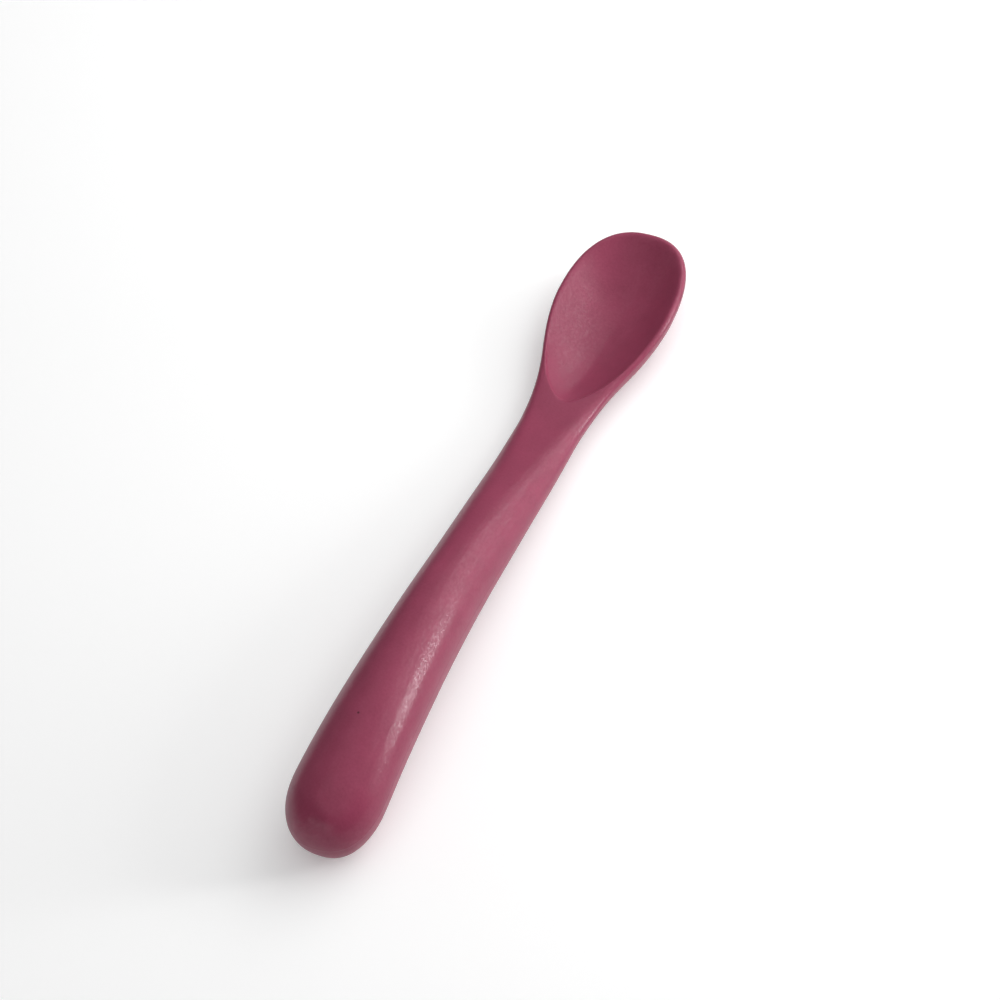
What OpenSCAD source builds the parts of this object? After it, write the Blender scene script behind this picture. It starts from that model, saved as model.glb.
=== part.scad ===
/* [Overall] */
// Length of the spoon, from the handle's end to the bowl's tip
spoon_len = 150; // [135:1:165]

/* [Handle] */
// Width of the handle where it is widest, near its end
grip_w = 18; // [16:0.2:21]
// Height of the handle where it is thickest
grip_h = 15.4; // [13.5:0.2:18]
// Length of the rounded end of the handle, seen from above
end_round_len = 12; // [9:0.5:15]
// How far the underside arches clear of the table between its two rests
arch_h = 2.2; // [1.4:0.1:3.2]

/* [Neck] */
// Width of the neck where it is narrowest
neck_w = 12.7; // [11:0.1:14]
// Height of the neck just behind the bowl
neck_h = 5.3; // [5:0.1:6.5]

/* [Bowl] */
// Width of the bowl across its rim
bowl_w = 24.8; // [22:0.2:28]
// Distance from the widest place of the bowl to its tip
tip_round_len = 18; // [15:0.5:21]
// Length of the hollow, from its pointed back to its tip
hollow_len = 41.8; // [38:0.2:45]
// Depth of the hollow below the rim where the bowl is widest
hollow_depth = 5.4; // [5:0.1:6.6]
// Thickness of the bowl's floor where the bowl is widest
floor_t = 2.1; // [1.8:0.1:3]
// Breadth of the rim, from the outside to the edge of the hollow
rim_t = 1; // [0.8:0.05:1.4]
// Roundness of the edge where the hollow begins
edge_soft = 0.35; // [0.2:0.05:0.5]

/* [Stiffener] */
// Silicone over the top and the bottom of the stiffener
cover_t = 1.6; // [1.3:0.1:1.9]
// Thickness of the stiffener's blade and of its upright web
web_t = 1.9; // [1.4:0.1:2]
// Silicone between the stiffener and the handle's end
end_cover = 8; // [6:0.5:11]
// Silicone between the stiffener and the back of the hollow
tip_cover = 1.8; // [1.2:0.1:4]
// Thickness of each spacer disc
disc_t = 1.6; // [1.2:0.1:2.2]
// Number of spacer discs
disc_n = 5; // [3:1:6]
// Diameter of the holes that the silicone flows through in the neck
neck_hole_d = 2.4; // [1.6:0.1:3]
// Number of those holes in the neck
neck_hole_n = 3; // [2:1:4]
// Diameter of the holes that the silicone flows through in the handle
grip_hole_d = 4; // [2.5:0.1:4.6]

/* [Rests] */
// How much is moulded flat where the spoon rests on a table
rest_flat_t = 0.3; // [0.2:0.05:0.4]

/* [Hidden] */

// Colours
silicone_colour = "#96475d";
stiffener_colour = "#ded9cf";

// Places along the spoon, measured from the handle's end
neck_share = 0.66;
neck_at = neck_share * spoon_len;
bowl_wide_at = spoon_len - tip_round_len;
hollow_end = spoon_len - rim_t;
hollow_start = hollow_end - hollow_len;

// Squareness of the two round ends seen from above, and of the section's underside
end_power = 2.4;
under_power = 2.1;
// Shape of the hollow: its outline behind and before the widest place, and its floor
back_power = 1.7;
floor_power = 2.8;

// Each table has a place along the spoon, then a share of the size that it follows.
// How much wider than the neck the handle is
grip_width_shares = [
    [0, 1], [0.08, 1], [0.133, 0.85], [0.2, 0.63], [0.3, 0.3],
    [0.4, 0.07], [0.5, 0.03], [0.6, 0.01], [neck_share, 0]
];
// How much higher than the neck the top of the handle is
grip_height_shares = [
    [0, 0.57], [0.047, 0.74], [0.133, 0.93], [0.233, 1], [0.347, 0.89],
    [0.42, 0.72], [0.5, 0.49], [0.613, 0.14], [0.72, 0]
];
// How much of the arch lies under the spoon, with its two rests at zero
arch_shares = [
    [0, 0], [0.06, 0], [0.133, 0.6], [0.25, 0.95], [0.4, 1], [0.5, 0.9],
    [0.6, 0.66], [0.68, 0.62], [0.74, 0.4], [0.8, 0], [0.88, 0.36], [0.95, 0.65], [1, 0.75]
];
// How far the section has gone from the oval handle to the flat top and rim
flat_shares = [
    [0.4, 0], [0.5, 0.1], [0.6, 0.45], [0.68, 0.8], [0.76, 0.97], [0.82, 1]
];
// Rise from the neck to the rim, from the back of the bowl to its tip, as a share of
// the rise to the widest place: the places are shares of the way there from the neck
rim_rise_shares = [
    [0.27, 0], [0.45, 0.05], [0.64, 0.28], [0.82, 0.66], [1, 1], [1.3, 1.38], [1.55, 1.5]
];
// Swell of the outline from the neck to the bowl: the same places
bowl_width_shares = [
    [0, 0], [0.15, 0.05], [0.27, 0.125], [0.39, 0.245], [0.51, 0.415],
    [0.64, 0.64], [0.76, 0.82], [0.88, 0.945], [1, 1]
];

// Where the ribs of an end meet the middle line, as a share of the end's length
focus_share = 0.55;

// Stations of the surface
end_steps = 8;
grip_steps = 15;
bowl_steps = 30;
tip_steps = 12;
rim_rows = 5;
top_rows = 14;
under_rows = 9;
// Crowding of the top rows towards the rim
row_power = 1.25;

// How much of its full height the stiffener's upright web has
web_height_shares = [[0.34, 1], [0.44, 0.6], [0.54, 0]];

// The stiffener's outline
core_steps = 40;
core_side_share = 0.76;
core_round_share = 0.7;
disc_points = 40;
disc_first_share = 0.12;
disc_last_share = 0.64;
neck_hole_first_share = 0.78;
neck_hole_last_share = 0.95;
// Where a handle hole lies between the upright web and the blade's edge, and the most
// of that width that it may take
grip_hole_side_share = 0.56;
grip_hole_width_share = 0.8;
hole_sides = 48;
cut_over = 1;

// Smooth curve through a table's points, level beyond its first and last
function curve_span(table, x, i = 0) =
    i >= len(table) - 2 || x < table[i + 1][0] ? i : curve_span(table, x, i + 1);
function curve_secant(table, i) =
    (table[i + 1][1] - table[i][1]) / (table[i + 1][0] - table[i][0]);
function curve_slope(table, i) =
    i == 0 || i == len(table) - 1 ? 0 :
    let (before = table[i][0] - table[i - 1][0], after = table[i + 1][0] - table[i][0])
    (curve_secant(table, i - 1) * after + curve_secant(table, i) * before) / (before + after);
function curve(table, x) =
    x <= table[0][0] ? table[0][1] :
    x >= table[len(table) - 1][0] ? table[len(table) - 1][1] :
    let (
        i = curve_span(table, x),
        span = table[i + 1][0] - table[i][0],
        u = (x - table[i][0]) / span
    )
    table[i][1] * pow(1 - u, 2) * (1 + 2 * u)
        + table[i + 1][1] * u * u * (3 - 2 * u)
        + curve_slope(table, i) * span * u * pow(1 - u, 2)
        - curve_slope(table, i + 1) * span * u * u * (1 - u);

function clamp01(u) = min(1, max(0, u));
// Quarter of a rounded end: 0 at u = 0, level at u = 1
function quarter(u, power) = pow(max(0, 1 - pow(1 - clamp01(u), power)), 1 / power);
// Place on the way from the neck to the widest place of the bowl
function bowl_way(x) = (x - neck_at) / (bowl_wide_at - neck_at);

// Half the width at x, with both ends rounded off
function half_width(x) =
    (neck_w
        + (grip_w - neck_w) * curve(grip_width_shares, x / spoon_len)
        + (bowl_w - neck_w) * curve(bowl_width_shares, bowl_way(x))) / 2
    * quarter(x / end_round_len, end_power)
    * quarter((spoon_len - x) / tip_round_len, end_power);

// Height of the underside on the middle line, before the rests are cut flat
function under_z(x) = arch_h * curve(arch_shares, x / spoon_len) - rest_flat_t;

neck_top = arch_h * curve(arch_shares, hollow_start / spoon_len) + neck_h;
grip_top = arch_h + grip_h;
rim_top = arch_h * curve(arch_shares, bowl_wide_at / spoon_len) + floor_t + hollow_depth;

// Height of the top on the middle line, with the hollow filled in
function top_z(x) =
    neck_top
    + (grip_top - neck_top) * curve(grip_height_shares, x / spoon_len)
    + (rim_top - neck_top) * curve(rim_rise_shares, bowl_way(x));

function flatness(x) = curve(flat_shares, x / spoon_len);
// Height from the widest line of the section up to its top
function upper_h(x) =
    let (oval = (top_z(x) - under_z(x)) / 2, flat = flatness(x))
    oval * (1 - flat) + rim_t * flat;
// Height of the widest line, where the two halves of the mould meet
function parting_z(x) = top_z(x) - upper_h(x);

// How deep the hollow is at a place seen from above, with a soft edge
function hollow_sigma(x, y) =
    let (
        behind = x < bowl_wide_at,
        power = behind ? back_power : end_power,
        reach = behind ? bowl_wide_at - hollow_start : hollow_end - bowl_wide_at
    )
    pow(
        pow(abs(x - bowl_wide_at) / reach, power)
            + pow(abs(y) / (bowl_w / 2 - rim_t), power),
        1 / power
    );
function hollow_at(x, y) =
    let (raw = hollow_depth * (1 - pow(hollow_sigma(x, y), floor_power)))
    (raw + sqrt(raw * raw + edge_soft * edge_soft)) / 2;

// The surface is drawn along ribs, from the outline in to the middle line.
rib_x = concat(
    [for (i = [0 : end_steps - 1]) end_round_len * (1 - cos(90 * i / end_steps))],
    [for (i = [0 : grip_steps - 1])
        end_round_len + (neck_at - end_round_len) * i / grip_steps],
    [for (i = [0 : bowl_steps - 1])
        neck_at + (bowl_wide_at - neck_at) * i / bowl_steps],
    [for (i = [0 : tip_steps]) spoon_len - tip_round_len * (1 - sin(90 * i / tip_steps))]
);
ribs = len(rib_x) - 1;

// Where a rib meets the middle line: the ribs of a round end fan out from its focus
function rib_root(x) =
    x < end_round_len ?
        focus_share * end_round_len + x * (1 - focus_share) :
    x > bowl_wide_at ?
        spoon_len - focus_share * tip_round_len - (spoon_len - x) * (1 - focus_share) :
    x;

// Share of a rib's length at each of its rows on the top side
function top_row(j, length, flat) =
    let (
        oval = length * (1 - cos(90 * j / top_rows)),
        level = j <= rim_rows ?
            rim_t * (1 - cos(90 * j / rim_rows)) :
            rim_t + (length - rim_t) * pow((j - rim_rows) / (top_rows - rim_rows), row_power)
    )
    (oval * (1 - flat) + level * flat) / length;
function under_row(j) = 1 - cos(90 * j / under_rows);

// A point of the top or the underside: rib i, row j, side 1 or -1
function rib_point(i, j, side, on_top) =
    let (
        x_out = rib_x[i],
        y_out = half_width(x_out),
        x_in = rib_root(x_out),
        length = norm([x_in - x_out, y_out]),
        flat = flatness(x_in),
        way = on_top ? top_row(j, length, flat) : under_row(j),
        x = x_out + (x_in - x_out) * way,
        y = y_out * (1 - way),
        parting = parting_z(x_out) * (1 - way) + parting_z(x_in) * way,
        round_len = length * (1 - flat) + rim_t * flat,
        lift = on_top ?
            upper_h(x_in) * quarter(length * way / round_len, 2) :
            (under_z(x_in) - parting_z(x_in)) * quarter(way, under_power)
    )
    [x - spoon_len / 2, side * y, parting + lift - (on_top ? hollow_at(x, y) : 0)];

// Ring k runs right round the outline: the handle's end, one side, the tip, the other side
rings = 2 * ribs;
function ring_rib(k) = k <= ribs ? k : rings - k;
function ring_side(k) = k <= ribs ? -1 : 1;
ring_rows = top_rows + under_rows - 1;

body_points = concat(
    [for (k = [0 : rings - 1], j = [0 : ring_rows - 1])
        j < top_rows ?
            rib_point(ring_rib(k), j, ring_side(k), true) :
            rib_point(ring_rib(k), j - top_rows + 1, ring_side(k), false)],
    [for (i = [0 : ribs]) rib_point(i, top_rows, 1, true)],
    [for (i = [0 : ribs]) rib_point(i, under_rows, 1, false)]
);
middle_first = rings * ring_rows;
function top_index(k, j) =
    let (ring = k % rings)
    j < top_rows ? ring * ring_rows + j : middle_first + ring_rib(ring);
function under_index(k, j) =
    let (ring = k % rings)
    j == 0 ? ring * ring_rows :
    j < under_rows ? ring * ring_rows + top_rows + j - 1 :
    middle_first + ribs + 1 + ring_rib(ring);
// Two triangles of a patch, cut along b to d or a to c, alike on the two sides
function patch(a, b, c, d, along_bd) =
    along_bd ? [[a, b, d], [b, c, d]] : [[a, b, c], [a, c, d]];
function leaves_end(k) = k % ribs < ribs / 2;
body_faces = concat(
    [for (k = [0 : rings - 1], j = [0 : top_rows - 1])
        each patch(top_index(k, j), top_index(k, j + 1),
                   top_index(k + 1, j + 1), top_index(k + 1, j), leaves_end(k))],
    [for (k = [0 : rings - 1], j = [0 : under_rows - 1])
        each patch(under_index(k + 1, j), under_index(k + 1, j + 1),
                   under_index(k, j + 1), under_index(k, j), !leaves_end(k))]
);

module body_form() {
    polyhedron(points = body_points, faces = body_faces, convexity = 6);
}

// Everything below the table's level, which leaves the two rests flat
module below_table() {
    translate([-spoon_len, -bowl_w, -grip_h])
        cube([2 * spoon_len, 2 * bowl_w, grip_h]);
}

// The stiffener runs from inside the handle's end to just behind the hollow
core_start = end_cover;
core_end = hollow_start - tip_cover;
core_round_len = core_round_share * end_round_len;
core_x = [for (i = [0 : core_steps])
    core_start + (core_end - core_start) * (1 - cos(180 * i / core_steps)) / 2];
function core_end_round(x) =
    quarter((x - core_start) / core_round_len, 2) * quarter((core_end - x) / (web_t / 2), 2);
function middle_z(x) = (top_z(x) + under_z(x)) / 2;
function core_half_h(x) = (top_z(x) - under_z(x)) / 2 - cover_t;
function core_half_w(x) = (half_width(x) - cover_t) * core_side_share;

// A wall that follows the spoon's side view, with a given half height at each place
module side_wall(half_heights, depth) {
    translate([-spoon_len / 2, 0, 0])
        rotate([90, 0, 0])
            linear_extrude(depth, center = true)
                polygon(concat(
                    [for (i = [0 : core_steps]) [core_x[i], middle_z(core_x[i]) + half_heights[i]]],
                    [for (i = [core_steps : -1 : 0])
                        [core_x[i], middle_z(core_x[i]) - half_heights[i]]]
                ));
}

module upright_web() {
    side_wall(
        [for (x = core_x)
            web_t / 2 + (core_half_h(x) - web_t / 2) * core_end_round(x)
                * curve(web_height_shares, x / spoon_len)],
        web_t
    );
}

module blade() {
    intersection() {
        side_wall([for (x = core_x) web_t / 2], bowl_w);
        translate([-spoon_len / 2, 0, 0])
            linear_extrude(grip_top)
                polygon(concat(
                    [for (x = core_x) [x, web_t / 2 + (core_half_w(x) - web_t / 2) * core_end_round(x)]],
                    [for (i = [core_steps : -1 : 0])
                        let (x = core_x[i])
                        [x, -web_t / 2 - (core_half_w(x) - web_t / 2) * core_end_round(x)]]
                ));
    }
}

// Discs that keep the web upright and the silicone's wall even
disc_pitch = (disc_last_share - disc_first_share) * (core_end - core_start) / (disc_n - 1);
disc_first = core_start + disc_first_share * (core_end - core_start);
function disc_at(i) = disc_first + i * disc_pitch;

module spacer_disc(x) {
    translate([x - spoon_len / 2 - disc_t / 2, 0, middle_z(x)])
        rotate([90, 0, 90])
            linear_extrude(disc_t)
                polygon([for (i = [0 : disc_points - 1])
                    let (a = 360 * i / disc_points)
                    [(half_width(x) - cover_t) * cos(a), core_half_h(x) * sin(a)]]);
}

// Holes that the silicone fills, so that the two pieces can't slide apart
module neck_holes() {
    reach = core_end - core_start;
    for (i = [0 : neck_hole_n - 1]) {
        share = neck_hole_first_share
            + (neck_hole_last_share - neck_hole_first_share) * i / (neck_hole_n - 1);
        translate([core_start + reach * share - spoon_len / 2, 0, -cut_over])
            cylinder(h = grip_top + 2 * cut_over, d = neck_hole_d, $fn = hole_sides);
    }
}

module grip_holes() {
    for (i = [0 : disc_n - 2]) {
        x = disc_at(i) + disc_pitch / 2;
        side = core_half_w(x) * grip_hole_side_share + web_t / 4;
        hole_d = min(grip_hole_d, (core_half_w(x) - web_t) * grip_hole_width_share);
        for (y = [-side, side])
            translate([x - spoon_len / 2, y, -cut_over])
                cylinder(h = grip_top + 2 * cut_over, d = hole_d, $fn = hole_sides);
    }
}

module stiffener_form() {
    difference() {
        union() {
            blade();
            upright_web();
            for (i = [0 : disc_n - 1]) spacer_disc(disc_at(i));
        }
        neck_holes();
        grip_holes();
    }
}

module silicone_body() {
    color(silicone_colour)
        difference() {
            body_form();
            below_table();
            stiffener_form();
        }
}

module stiffener() {
    color(stiffener_colour) stiffener_form();
}

silicone_body();
stiffener();
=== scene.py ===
import math

import bpy
from mathutils import Matrix, Vector


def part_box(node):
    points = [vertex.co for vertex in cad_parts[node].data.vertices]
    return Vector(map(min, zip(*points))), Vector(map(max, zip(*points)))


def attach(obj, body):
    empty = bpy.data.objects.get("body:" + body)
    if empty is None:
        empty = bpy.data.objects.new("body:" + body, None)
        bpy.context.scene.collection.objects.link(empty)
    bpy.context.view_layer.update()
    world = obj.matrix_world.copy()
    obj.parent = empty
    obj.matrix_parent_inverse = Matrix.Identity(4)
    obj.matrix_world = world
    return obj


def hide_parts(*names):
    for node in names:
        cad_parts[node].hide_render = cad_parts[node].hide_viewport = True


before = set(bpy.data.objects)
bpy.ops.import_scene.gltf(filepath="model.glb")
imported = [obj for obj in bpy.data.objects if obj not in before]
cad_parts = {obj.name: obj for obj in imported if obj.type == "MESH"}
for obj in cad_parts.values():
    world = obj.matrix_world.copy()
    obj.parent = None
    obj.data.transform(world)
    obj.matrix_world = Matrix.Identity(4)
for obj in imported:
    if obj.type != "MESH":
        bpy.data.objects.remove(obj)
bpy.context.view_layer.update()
bodyLow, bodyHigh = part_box("silicone_body")
mm = 0.001
print("frame loaded")


# Camera, at the photograph's viewing angle

cameraView = {
    "azimuth": -53.25,     # degrees round the spoon, 0 looks along +Y
    "elevation": 51.1,     # degrees above the table
    "roll": -14.5,         # degrees, turns the picture so that the bowl is at the upper right
    "distance": 0.65,      # from the point that it aims at
    "aim": (5.23 * mm, 0.51 * mm, 8.07 * mm),
    "lens": 124.15,        # on a 36 mm sensor
    "sensor": 36.0,
    "nearest": 0.01,       # the camera sees nothing closer or farther than these
    "farthest": 20.0,
}


def directionFrom(azimuth, elevation):
    a, e = math.radians(azimuth), math.radians(elevation)
    return Vector((math.sin(a) * math.cos(e), -math.cos(a) * math.cos(e), math.sin(e)))


def makeCamera():
    back = directionFrom(cameraView["azimuth"], cameraView["elevation"])
    level = Vector((0, 0, 1)).cross(back).normalized()
    upright = back.cross(level)
    roll = math.radians(cameraView["roll"])
    right = level * math.cos(roll) + upright * math.sin(roll)
    up = upright * math.cos(roll) - level * math.sin(roll)
    data = bpy.data.cameras.new("viewCamera")
    data.sensor_width = cameraView["sensor"]
    data.lens = cameraView["lens"]
    data.clip_start = cameraView["nearest"]
    data.clip_end = cameraView["farthest"]
    camera = bpy.data.objects.new("viewCamera", data)
    bpy.context.scene.collection.objects.link(camera)
    place = Vector(cameraView["aim"]) + back * cameraView["distance"]
    turn = Matrix((right, up, back)).transposed().to_4x4()
    camera.matrix_world = Matrix.Translation(place) @ turn
    bpy.context.scene.camera = camera
    return camera


makeCamera()
print("camera placed")


# The silicone body: the shape as a set of curves along the spoon, all in millimetres

spoonLength = (bodyHigh.x - bodyLow.x) / mm
bowlWidth = (bodyHigh.y - bodyLow.y) / mm

spoonShape = {
    "gripWidth": 18.0,        # widest place of the handle
    "gripHeight": 15.4,
    "endRoundLength": 12.0,   # the handle's rounded end, seen from above
    "archHeight": 2.2,        # how far the underside clears the table between its rests
    "neckWidth": 12.7,
    "neckHeight": 5.3,
    "neckFullness": 0.7,      # how much fuller the neck's top is moulded
    "fullnessReach": 1.5,     # the top half grows by this much of it, so its parting line sinks
    "neckShare": 0.66,        # where the neck is narrowest, from the handle's end
    "tipRoundLength": 18.0,   # from the bowl's widest place to its tip
    "hollowLength": 41.8,
    "hollowDepth": 5.4,
    "floorThickness": 2.1,
    "rimBreadth": 1.0,
    "restDepth": 0.3,         # how much the two rests are moulded flat
    "restSoftness": 0.05,
    "endPower": 2.4,          # these powers set how square each rounding is
    "underPower": 2.1,
    "backPower": 1.7,
    "floorPower": 2.1,
    "focusShare": 0.55,       # where the ribs of a rounded end meet
    "shoulderSoftness": 0.35, # how softly the shoulders run out into the flat top
    "blendLength": 8.0,       # the back of the hollow changes into its front over this length
    "middleSoftness": 0.05,   # keeps the hollow's floor smooth along its middle
    "lipStep": 0.12,          # the small step with which the hollow begins at its back
    "lipStepBreadth": 0.35,
    "leastSteepness": 0.05,   # the hollow's floor counts as this steep where it is level
    "seamHeight": 0.015,      # the mould's parting line round the outline
    "seamBreadth": 0.14,
}

# Places along the spoon as shares of its length, then shares of what each curve follows
gripWidthShares = [
    (0, 1), (0.08, 1), (0.133, 0.85), (0.2, 0.63), (0.3, 0.3),
    (0.4, 0.07), (0.5, 0.03), (0.6, 0.01), (0.66, 0),
]
gripHeightShares = [
    (0, 0.57), (0.047, 0.74), (0.133, 0.93), (0.233, 1), (0.347, 0.89),
    (0.42, 0.72), (0.5, 0.49), (0.613, 0.14), (0.72, 0),
]
archShares = [
    (0, 0), (0.06, 0), (0.133, 0.6), (0.25, 0.95), (0.4, 1), (0.5, 0.9),
    (0.6, 0.66), (0.68, 0.62), (0.74, 0.4), (0.8, 0), (0.88, 0.36), (0.95, 0.65), (1, 0.75),
]
flatShares = [
    (0.4, 0), (0.5, 0.1), (0.6, 0.45), (0.68, 0.8), (0.76, 0.97), (0.82, 1),
]
# Breadth of the flat middle in between the top's two rounded shoulders
plateauShares = [
    (0.2, 0), (0.35, 0.15), (0.5, 0.3), (0.6, 0.5), (0.68, 0.8), (0.76, 0.97), (0.82, 1),
]
# Roundness of the edge where the hollow begins: its radius in millimetres
lipRadii = [
    (0.70, 0.12), (0.76, 0.3), (0.84, 1.2), (1, 2.0),
]
# Where the small step inside the lip is, and where it runs out
lipStepShares = [
    (0.76, 1), (0.84, 0),
]
# Where the neck's top is moulded fuller, by neckFullness
fullNeckShares = [
    (0.25, 0), (0.4, 1), (0.62, 1), (0.74, 0),
]
# The next two are placed by the way from the neck to the bowl's widest place
rimRiseShares = [
    (0.27, 0), (0.45, 0.05), (0.64, 0.28), (0.82, 0.66), (1, 1), (1.3, 1.38), (1.55, 1.5),
]
bowlWidthShares = [
    (0, 0), (0.15, 0.05), (0.27, 0.125), (0.39, 0.245), (0.51, 0.415),
    (0.64, 0.64), (0.76, 0.82), (0.88, 0.945), (1, 1),
]

meshDensity = {
    "endRibs": 28,
    "gripRibs": 64,
    "bowlRibs": 110,
    "tipRibs": 44,
    "seamRows": 3,
    "topRows": 54,
    "underRows": 28,
    "sectionSamples": 200,
    "turnSpacing": 3.0,       # rows crowd where a section turns, as if a radian were this long
}


def curveSlope(table, i):
    if i == 0 or i == len(table) - 1:
        return 0
    before = table[i][0] - table[i - 1][0]
    after = table[i + 1][0] - table[i][0]
    riseBefore = (table[i][1] - table[i - 1][1]) / before
    riseAfter = (table[i + 1][1] - table[i][1]) / after
    return (riseBefore * after + riseAfter * before) / (before + after)


def curve(table, x):
    if x <= table[0][0]:
        return table[0][1]
    if x >= table[-1][0]:
        return table[-1][1]
    i = 0
    while x >= table[i + 1][0]:
        i += 1
    span = table[i + 1][0] - table[i][0]
    u = (x - table[i][0]) / span
    return (table[i][1] * (1 - u) ** 2 * (1 + 2 * u)
            + table[i + 1][1] * u * u * (3 - 2 * u)
            + curveSlope(table, i) * span * u * (1 - u) ** 2
            - curveSlope(table, i + 1) * span * u * u * (1 - u))


def clamp01(u):
    return min(1.0, max(0.0, u))


def smoothStep(u):
    u = clamp01(u)
    return u * u * (3 - 2 * u)


def quarter(u, power):
    return max(0.0, 1 - (1 - clamp01(u)) ** power) ** (1 / power)


def softPlus(height, softness):
    return (height + math.sqrt(height * height + softness * softness)) / 2


shape = spoonShape
neckAt = shape["neckShare"] * spoonLength
bowlWideAt = spoonLength - shape["tipRoundLength"]
hollowEnd = spoonLength - shape["rimBreadth"]
hollowStart = hollowEnd - shape["hollowLength"]


def bowlWay(x):
    return (x - neckAt) / (bowlWideAt - neckAt)


def halfWidth(x):
    full = (shape["neckWidth"]
            + (shape["gripWidth"] - shape["neckWidth"]) * curve(gripWidthShares, x / spoonLength)
            + (bowlWidth - shape["neckWidth"]) * curve(bowlWidthShares, bowlWay(x)))
    atEnd = quarter(x / shape["endRoundLength"], shape["endPower"])
    atTip = quarter((spoonLength - x) / shape["tipRoundLength"], shape["endPower"])
    return full / 2 * atEnd * atTip


def underZ(x):
    return shape["archHeight"] * curve(archShares, x / spoonLength) - shape["restDepth"]


neckTop = shape["archHeight"] * curve(archShares, hollowStart / spoonLength) + shape["neckHeight"]
gripTop = shape["archHeight"] + shape["gripHeight"]
rimTop = (shape["archHeight"] * curve(archShares, bowlWideAt / spoonLength)
          + shape["floorThickness"] + shape["hollowDepth"])


def fullNeck(x):
    return shape["neckFullness"] * curve(fullNeckShares, x / spoonLength)


def topZ(x):
    return (neckTop
            + (gripTop - neckTop) * curve(gripHeightShares, x / spoonLength)
            + (rimTop - neckTop) * curve(rimRiseShares, bowlWay(x))
            + fullNeck(x))


def flatness(x):
    return curve(flatShares, x / spoonLength)


def upperHeight(x):
    fuller = shape["fullnessReach"] * fullNeck(x)
    oval = (topZ(x) - fullNeck(x) - underZ(x)) / 2
    return oval * (1 - flatness(x)) + shape["rimBreadth"] * flatness(x) + fuller


def partingZ(x):
    return topZ(x) - upperHeight(x)


def softPower(u, power):
    soft = shape["middleSoftness"]
    return (u * u + soft * soft) ** (power / 2) - soft ** power


def hollowAt(x, y):
    # how deep the hollow is below the rim's own surface
    reach = bowlWideAt - hollowStart if x < bowlWideAt else hollowEnd - bowlWideAt
    blend = smoothStep(0.5 + (x - bowlWideAt) / shape["blendLength"])
    power = shape["backPower"] + (shape["endPower"] - shape["backPower"]) * blend
    hollowHalf = bowlWidth / 2 - shape["rimBreadth"]
    along = abs(x - bowlWideAt) / reach
    across = abs(y) / hollowHalf
    outward = (softPower(along, power) + softPower(across, power)) ** (1 / power)
    depth = shape["hollowDepth"] * (1 - outward ** shape["floorPower"])
    steepness = (shape["hollowDepth"] * shape["floorPower"]
                 * math.hypot(along ** (power - 1) / reach, across ** (power - 1) / hollowHalf))
    inside = depth / max(steepness, shape["leastSteepness"])
    step = curve(lipStepShares, x / spoonLength) * smoothStep(inside / shape["lipStepBreadth"])
    rounding = curve(lipRadii, x / spoonLength) * steepness ** 2 / 2
    return softPlus(depth, rounding) + shape["lipStep"] * step


def ribRoot(x):
    endLength, tipLength, share = shape["endRoundLength"], shape["tipRoundLength"], shape["focusShare"]
    if x < endLength:
        return share * endLength + x * (1 - share)
    if x > bowlWideAt:
        return spoonLength - share * tipLength - (spoonLength - x) * (1 - share)
    return x


def ribStations():
    density = meshDensity
    stations = []
    for i in range(density["endRibs"]):
        turn = math.pi / 2 * i / density["endRibs"]
        stations.append(shape["endRoundLength"] * (1 - math.cos(turn)))
    for i in range(density["gripRibs"]):
        way = i / density["gripRibs"]
        stations.append(shape["endRoundLength"] + (neckAt - shape["endRoundLength"]) * way)
    for i in range(density["bowlRibs"]):
        stations.append(neckAt + (bowlWideAt - neckAt) * i / density["bowlRibs"])
    for i in range(density["tipRibs"] + 1):
        turn = math.pi / 2 * i / density["tipRibs"]
        stations.append(spoonLength - shape["tipRoundLength"] * (1 - math.sin(turn)))
    return stations


def placeRows(section, start, end, rows):
    # even steps, shorter where the section turns
    samples = meshDensity["sectionSamples"]
    first = math.acos(1 - start / end)
    turns = [first + (math.pi / 2 - first) * k / samples for k in range(samples + 1)]
    distances = [end * (1 - math.cos(turn)) for turn in turns]
    points = [section(distance) for distance in distances]
    measure, total, lastAngle = [0.0], 0.0, None
    for k in range(samples):
        dx, dz = distances[k + 1] - distances[k], points[k + 1][2] - points[k][2]
        angle = math.atan2(dz, dx)
        total += math.hypot(dx, dz)
        if lastAngle is not None:
            total += meshDensity["turnSpacing"] * abs(angle - lastAngle)
        lastAngle = angle
        measure.append(total)
    placed, k = [], 0
    for row in range(1, rows + 1):
        wanted = total * row / rows
        while k < samples - 1 and measure[k + 1] < wanted:
            k += 1
        way = (wanted - measure[k]) / max(measure[k + 1] - measure[k], 1e-9)
        placed.append(distances[k] + (distances[k + 1] - distances[k]) * clamp01(way))
    return placed


def shoulder(u, softness):
    # a quarter round that runs out softly into the flat middle
    v = softPlus(1 - u, softness) / softPlus(1, softness)
    return math.sqrt(max(0.0, 1 - v * v))


def seamShift(height, distance, length):
    # the parting line stands proud of a body that is drawn in by as much, less towards its middle
    proud = smoothStep(1 - height / shape["seamBreadth"]) - 1
    return shape["seamHeight"] * proud * (1 - clamp01(distance / length)) ** 2


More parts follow.
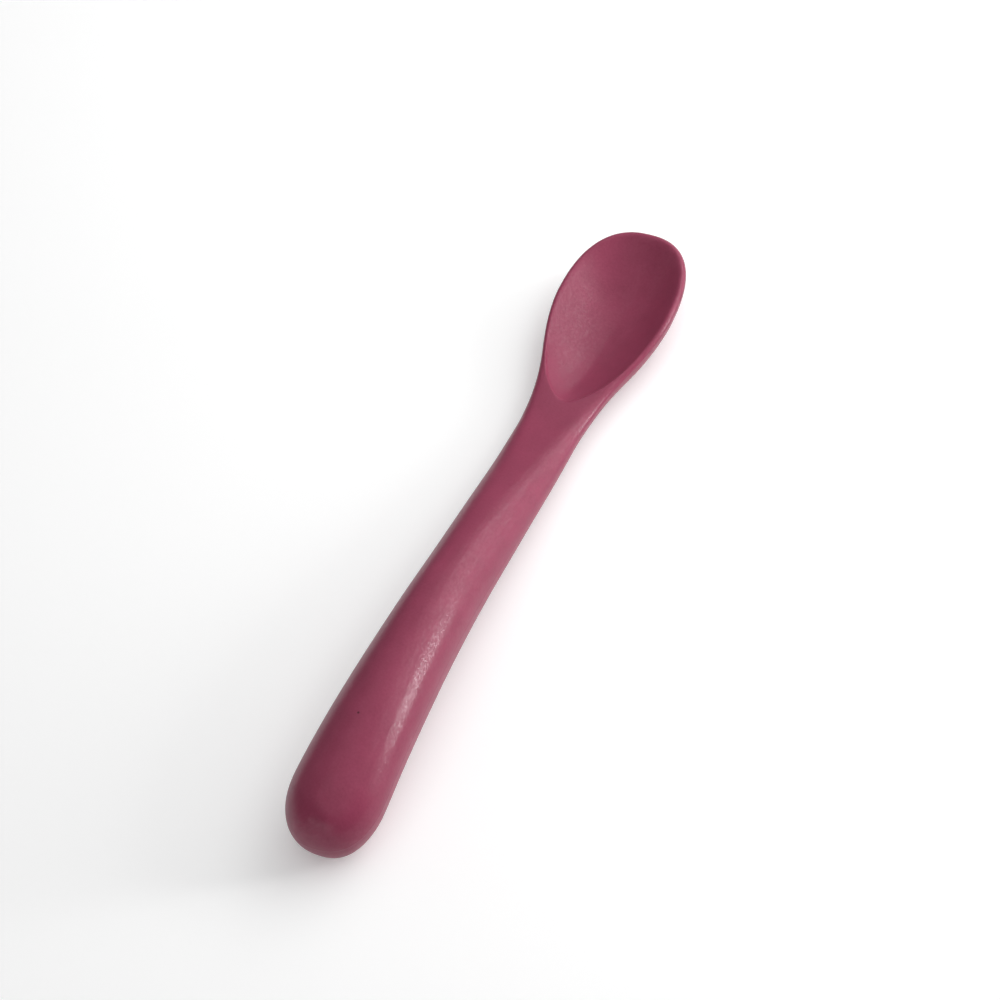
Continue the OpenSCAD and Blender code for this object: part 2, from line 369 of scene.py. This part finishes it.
def ribRows(xOut):
    # the points of one rib from the outline to the middle: the top's rows, then the underside's
    yOut = halfWidth(xOut)
    xIn = ribRoot(xOut)
    length = math.hypot(xIn - xOut, yOut)
    plateau = curve(plateauShares, xIn / spoonLength)
    upper = upperHeight(xIn)
    lower = partingZ(xIn) - underZ(xIn)
    roundLength = length * (1 - plateau) + shape["rimBreadth"] * plateau
    softness = min(plateau, shape["shoulderSoftness"])
    partingOut, partingIn = partingZ(xOut), partingZ(xIn)

    def inward(distance):
        way = distance / length
        return (xOut + (xIn - xOut) * way, yOut * (1 - way),
                partingOut * (1 - way) + partingIn * way)

    def topPoint(distance):
        x, y, parting = inward(distance)
        return x, y, parting + upper * shoulder(distance / roundLength, softness) - hollowAt(x, y)

    def underPoint(distance):
        x, y, parting = inward(distance)
        return x, y, parting - lower * quarter(distance / length, shape["underPower"])

    seamRows, breadth = meshDensity["seamRows"], shape["seamBreadth"]
    topRows, underRows = [], []
    for j in range(seamRows + 1):
        height = breadth * j / seamRows
        topRows.append((roundLength * (1 - math.sqrt(1 - (height / upper) ** 2)), height))
        power = shape["underPower"]
        underRows.append((length * (1 - (1 - (height / lower) ** power) ** (1 / power)), height))
    for distance in placeRows(topPoint, topRows[-1][0], length, meshDensity["topRows"]):
        topRows.append((distance, breadth))
    for distance in placeRows(underPoint, underRows[-1][0], length, meshDensity["underRows"]):
        underRows.append((distance, breadth))

    def finished(section, rows):
        points = []
        for distance, height in rows:
            x, y, z = section(distance)
            shift = seamShift(height, distance, length) / length
            points.append((x + (xOut - xIn) * shift, y + yOut * shift,
                           softPlus(z, shape["restSoftness"])))
        return points

    return finished(topPoint, topRows), finished(underPoint, underRows[1:])


def makeBody():
    stations = ribStations()
    ribs = [ribRows(x) for x in stations]
    last = len(stations) - 1
    rings = [(i, -1) for i in range(last)] + [(last - i, 1) for i in range(last)]
    topRows, underRows = len(ribs[0][0]), len(ribs[0][1])
    vertices, index = [], {}

    def vertex(i, side, sheet, j):
        # the middle line and the two ends are shared by both sides
        shared = j == (topRows if sheet == 0 else underRows) - 1 or i in (0, last)
        key = (i, 0 if shared else side, sheet, j)
        if key not in index:
            x, y, z = ribs[i][sheet][j]
            index[key] = len(vertices)
            vertices.append(((x - spoonLength / 2) * mm, y * (0 if shared else side) * mm, z * mm))
        return index[key]

    faces = []
    for k, (i, side) in enumerate(rings):
        iNext, sideNext = rings[(k + 1) % len(rings)]
        if i in (0, last):
            side = sideNext
        if iNext in (0, last):
            sideNext = side
        for j in range(topRows - 1):
            faces.append((vertex(i, side, 0, j), vertex(iNext, sideNext, 0, j),
                          vertex(iNext, sideNext, 0, j + 1), vertex(i, side, 0, j + 1)))
        for j in range(underRows):
            if j == 0:
                a, b = vertex(i, side, 0, 0), vertex(iNext, sideNext, 0, 0)
            else:
                a, b = vertex(i, side, 1, j - 1), vertex(iNext, sideNext, 1, j - 1)
            faces.append((a, vertex(i, side, 1, j), vertex(iNext, sideNext, 1, j), b))
    mesh = bpy.data.meshes.new("siliconeSpoon")
    mesh.from_pydata(vertices, [], faces)
    mesh.validate()
    mesh.shade_smooth()
    body = bpy.data.objects.new("siliconeSpoon", mesh)
    bpy.context.scene.collection.objects.link(body)
    return body


siliconeSpoon = makeBody()
print("silicone body made:", len(siliconeSpoon.data.polygons), "faces")


# Materials

siliconeFinish = {
    "colour": (0.557, 0.233, 0.331),
    # each pattern's size in millimetres, its detail, and its roughness where it isn't plain
    "clouds": (5.0, 5, 0.6),  # the pigment's faint clouds, darker and paler than the colour
    "flecks": (0.5, 2),
    "grain": (0.5, 2),        # the mould's fine grain
    "ripple": (1.8, 2),       # faint unevenness that breaks up the gloss
    "dulling": (0.5, 1),      # where the sheen is duller and brighter
    "cloudStrength": 0.06,
    "fleckStrength": 0.05,
    "roughness": 0.4,
    "index": 1.41,            # refractive index of silicone rubber
    "glossTint": (0.3, 0.3, 0.3),    # low, as handling leaves the surface a little dull
    "sheenRoughness": 0.2,    # a smoother skin over it, which the highlights come from
    "dullest": 0.2,
    "brightest": 0.62,
    "dullingRange": (0.45, 0.7),     # the part of its pattern over which the sheen brightens
    "edgeSheen": 0.15,        # share of the sheen that is left where the surface turns away
    "turnRange": (0.45, 0.9),        # from where to where it fades, 0 faces the eye and 1 is edge on
    "grainDepth": 0.015,      # depths in millimetres
    "sparkleDepth": 0.024,    # the same grain where the sheen catches the light
    "rippleDepth": 0.008,
    "subsurface": 0.05,
    "subsurfaceDepth": 0.8,
    "subsurfaceReach": (1.0, 0.35, 0.45),    # red light goes deepest
    "speckColour": (0.01, 0.004, 0.005, 1),
    "specks": [
        # where on the spoon in millimetres, breadth, and how much darker
        ((-52.1, 0.0, 17.1), 0.6, 0.75),
        ((60.0, 8.2, 6.0), 0.35, 0.35),
    ],
}


def toLinear(colour):
    return [c / 12.92 if c <= 0.04045 else ((c + 0.055) / 1.055) ** 2.4 for c in colour] + [1.0]


def newMaterial(name):
    material = bpy.data.materials.new(name)
    material.use_nodes = True
    nodes = material.node_tree.nodes
    return material, nodes, material.node_tree.links, nodes["Principled BSDF"]


def noiseAt(nodes, links, coordinates, size, detail=3.0, roughness=0.55):
    noise = nodes.new("ShaderNodeTexNoise")
    noise.inputs["Scale"].default_value = 1 / (size * mm)
    noise.inputs["Detail"].default_value = detail
    noise.inputs["Roughness"].default_value = roughness
    links.new(coordinates, noise.inputs["Vector"])
    return noise.outputs["Fac"]


def twoTones(nodes, links, factor, first, second, start=0.3, end=0.7):
    ramp = nodes.new("ShaderNodeValToRGB")
    ramp.color_ramp.elements[0].position = start
    ramp.color_ramp.elements[1].position = end
    ramp.color_ramp.elements[0].color = first
    ramp.color_ramp.elements[1].color = second
    links.new(factor, ramp.inputs["Fac"])
    return ramp.outputs["Color"]


def bump(nodes, links, height, depth, below=None):
    node = nodes.new("ShaderNodeBump")
    node.inputs["Distance"].default_value = depth * mm
    links.new(height, node.inputs["Height"])
    if below:
        links.new(below, node.inputs["Normal"])
    return node.outputs["Normal"]


def remap(nodes, links, value, start, end, low, high, smooth=True):
    node = nodes.new("ShaderNodeMapRange")
    node.interpolation_type = "SMOOTHSTEP" if smooth else "LINEAR"
    node.inputs["From Min"].default_value = start
    node.inputs["From Max"].default_value = end
    node.inputs["To Min"].default_value = low
    node.inputs["To Max"].default_value = high
    links.new(value, node.inputs["Value"])
    return node.outputs["Result"]


def colourMix(nodes, links, colour, blendType="MIX"):
    mix = nodes.new("ShaderNodeMix")
    mix.data_type = "RGBA"
    mix.blend_type = blendType
    links.new(colour, mix.inputs["A"])
    return mix


def shades(colour, strength):
    # the colour a share darker and a share paler
    return [c * (1 - strength) for c in colour] + [1], [c * (1 + strength) for c in colour] + [1]


def varied(nodes, links, colour, factor, strength):
    mix = colourMix(nodes, links, colour, "MULTIPLY")
    mix.inputs["Factor"].default_value = 1
    links.new(twoTones(nodes, links, factor, *shades((1, 1, 1), strength)), mix.inputs["B"])
    return mix.outputs["Result"]


def darkSpeck(nodes, links, coordinates, colour, place, breadth, strength):
    # a grain of pigment near the surface, darkest within two fifths of its breadth
    away = nodes.new("ShaderNodeVectorMath")
    away.operation = "DISTANCE"
    away.inputs[1].default_value = [c * mm for c in place]
    links.new(coordinates, away.inputs[0])
    inside = remap(nodes, links, away.outputs["Value"], breadth / 2 * mm, breadth / 5 * mm, 0, strength)
    mix = colourMix(nodes, links, colour)
    mix.inputs["B"].default_value = siliconeFinish["speckColour"]
    links.new(inside, mix.inputs["Factor"])
    return mix.outputs["Result"]


def sheenWeight(nodes, links, coordinates):
    # duller and brighter with the grain, and less where the surface turns away
    finish = siliconeFinish
    pattern = noiseAt(nodes, links, coordinates, *finish["dulling"])
    dulled = remap(nodes, links, pattern, *finish["dullingRange"],
                   finish["dullest"], finish["brightest"], smooth=False)
    facing = nodes.new("ShaderNodeLayerWeight").outputs["Facing"]
    faded = remap(nodes, links, facing, *finish["turnRange"], 1, finish["edgeSheen"])
    sheen = nodes.new("ShaderNodeMath")
    sheen.operation = "MULTIPLY"
    links.new(dulled, sheen.inputs[0])
    links.new(faded, sheen.inputs[1])
    return sheen.outputs[0]


def makeSilicone():
    finish = siliconeFinish
    material, nodes, links, shader = newMaterial("dustyRoseSilicone")
    coordinates = nodes.new("ShaderNodeTexCoord").outputs["Object"]
    tones = shades(toLinear(finish["colour"])[:3], finish["cloudStrength"])
    clouds = noiseAt(nodes, links, coordinates, *finish["clouds"])
    colour = twoTones(nodes, links, clouds, *tones)
    flecks = noiseAt(nodes, links, coordinates, *finish["flecks"])
    colour = varied(nodes, links, colour, flecks, finish["fleckStrength"])
    for place, breadth, strength in finish["specks"]:
        colour = darkSpeck(nodes, links, coordinates, colour, place, breadth, strength)
    links.new(colour, shader.inputs["Base Color"])
    ripple = noiseAt(nodes, links, coordinates, *finish["ripple"])
    grain = noiseAt(nodes, links, coordinates, *finish["grain"])
    uneven = bump(nodes, links, ripple, finish["rippleDepth"])
    links.new(bump(nodes, links, grain, finish["grainDepth"], uneven), shader.inputs["Normal"])
    links.new(bump(nodes, links, grain, finish["sparkleDepth"], uneven), shader.inputs["Coat Normal"])
    shader.inputs["Roughness"].default_value = finish["roughness"]
    shader.inputs["IOR"].default_value = finish["index"]
    shader.inputs["Specular Tint"].default_value = [*finish["glossTint"], 1]
    links.new(sheenWeight(nodes, links, coordinates), shader.inputs["Coat Weight"])
    shader.inputs["Coat Roughness"].default_value = finish["sheenRoughness"]
    shader.inputs["Coat IOR"].default_value = finish["index"]
    shader.inputs["Subsurface Weight"].default_value = finish["subsurface"]
    shader.inputs["Subsurface Radius"].default_value = finish["subsurfaceReach"]
    shader.inputs["Subsurface Scale"].default_value = finish["subsurfaceDepth"] * mm
    return material


nylonFinish = {
    "darkTone": (0.83, 0.81, 0.75),
    "paleTone": (0.88, 0.86, 0.81),
    "cloudSize": 3.0,         # millimetres
    "roughness": 0.5,
}


def makeNylon():
    finish = nylonFinish
    material, nodes, links, shader = newMaterial("naturalNylon")
    coordinates = nodes.new("ShaderNodeTexCoord").outputs["Object"]
    clouds = noiseAt(nodes, links, coordinates, finish["cloudSize"])
    tones = toLinear(finish["darkTone"]), toLinear(finish["paleTone"])
    links.new(twoTones(nodes, links, clouds, *tones), shader.inputs["Base Color"])
    shader.inputs["Roughness"].default_value = finish["roughness"]
    return material


siliconeSpoon.data.materials.append(makeSilicone())
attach(siliconeSpoon, "root")
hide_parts("silicone_body")

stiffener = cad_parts["stiffener"]
nylon = makeNylon()
if stiffener.material_slots:
    stiffener.material_slots[0].material = nylon
else:
    stiffener.data.materials.append(nylon)
print("materials made")


# Floor, lamps and world

studio = {
    "floorSize": 6.0,
    "floorColour": (0.95, 0.95, 0.95),
    "floorRoughness": 0.9,
    "floorWhiteness": 0.24,   # added where the camera sees the floor, and in reflections
    "skyStrength": 0.1,
    "lamps": [
        # name, azimuth, elevation, distance, width, height, watts
        ("windowStrip", 26, 13, 0.8, 0.14, 0.36, 3.15),
        ("windowEdge", 40, 20, 0.8, 0.22, 0.26, 0.45),
        ("sideSoftbox", 66, 40, 0.4, 0.6, 0.35, 0.9),
        ("sideCore", 58, 38, 0.4, 0.35, 0.18, 0.4),
        ("topSoftbox", 0, 80, 1.6, 2.4, 2.4, 11.0),
        ("backSoftbox", 160, 45, 0.8, 0.9, 0.6, 0.43),
        ("lowFill", -90, 13, 0.8, 0.8, 0.32, 1.02),
    ],
}


def makeFloor():
    half = studio["floorSize"] / 2
    mesh = bpy.data.meshes.new("floor")
    corners = [(-half, -half, 0), (half, -half, 0), (half, half, 0), (-half, half, 0)]
    mesh.from_pydata(corners, [], [(0, 1, 2, 3)])
    floor = bpy.data.objects.new("floor", mesh)
    bpy.context.scene.collection.objects.link(floor)
    material, nodes, links, shader = newMaterial("paleFloor")
    shader.inputs["Base Color"].default_value = toLinear(studio["floorColour"])
    shader.inputs["Roughness"].default_value = studio["floorRoughness"]
    path = nodes.new("ShaderNodeLightPath")
    glow = nodes.new("ShaderNodeEmission")
    rays = path.outputs["Is Camera Ray"]
    for other in ("Is Glossy Ray", "Is Transmission Ray"):
        either = nodes.new("ShaderNodeMath")
        either.operation = "MAXIMUM"
        links.new(rays, either.inputs[0])
        links.new(path.outputs[other], either.inputs[1])
        rays = either.outputs[0]
    amount = nodes.new("ShaderNodeMath")
    amount.operation = "MULTIPLY"
    amount.inputs[1].default_value = studio["floorWhiteness"]
    links.new(rays, amount.inputs[0])
    links.new(amount.outputs[0], glow.inputs["Strength"])
    add = nodes.new("ShaderNodeAddShader")
    links.new(shader.outputs[0], add.inputs[0])
    links.new(glow.outputs[0], add.inputs[1])
    links.new(add.outputs[0], nodes["Material Output"].inputs["Surface"])
    mesh.materials.append(material)
    return floor


def makeLamp(name, azimuth, elevation, distance, width, height, watts):
    data = bpy.data.lights.new(name, "AREA")
    data.shape = "RECTANGLE"
    data.size = width
    data.size_y = height
    data.energy = watts
    lamp = bpy.data.objects.new(name, data)
    bpy.context.scene.collection.objects.link(lamp)
    aim = Vector(cameraView["aim"])
    back = directionFrom(azimuth, elevation)
    lamp.location = aim + back * distance
    lamp.rotation_mode = "QUATERNION"
    lamp.rotation_quaternion = (-back).to_track_quat("-Z", "Y")
    return lamp


def makeWorld():
    world = bpy.data.worlds.new("studio")
    bpy.context.scene.world = world
    world.use_nodes = True
    background = world.node_tree.nodes["Background"]
    background.inputs["Color"].default_value = (1, 1, 1, 1)
    background.inputs["Strength"].default_value = studio["skyStrength"]


makeFloor()
for lampValues in studio["lamps"]:
    makeLamp(*lampValues)
makeWorld()
bpy.context.scene.view_settings.view_transform = "Standard"
print("studio lit")
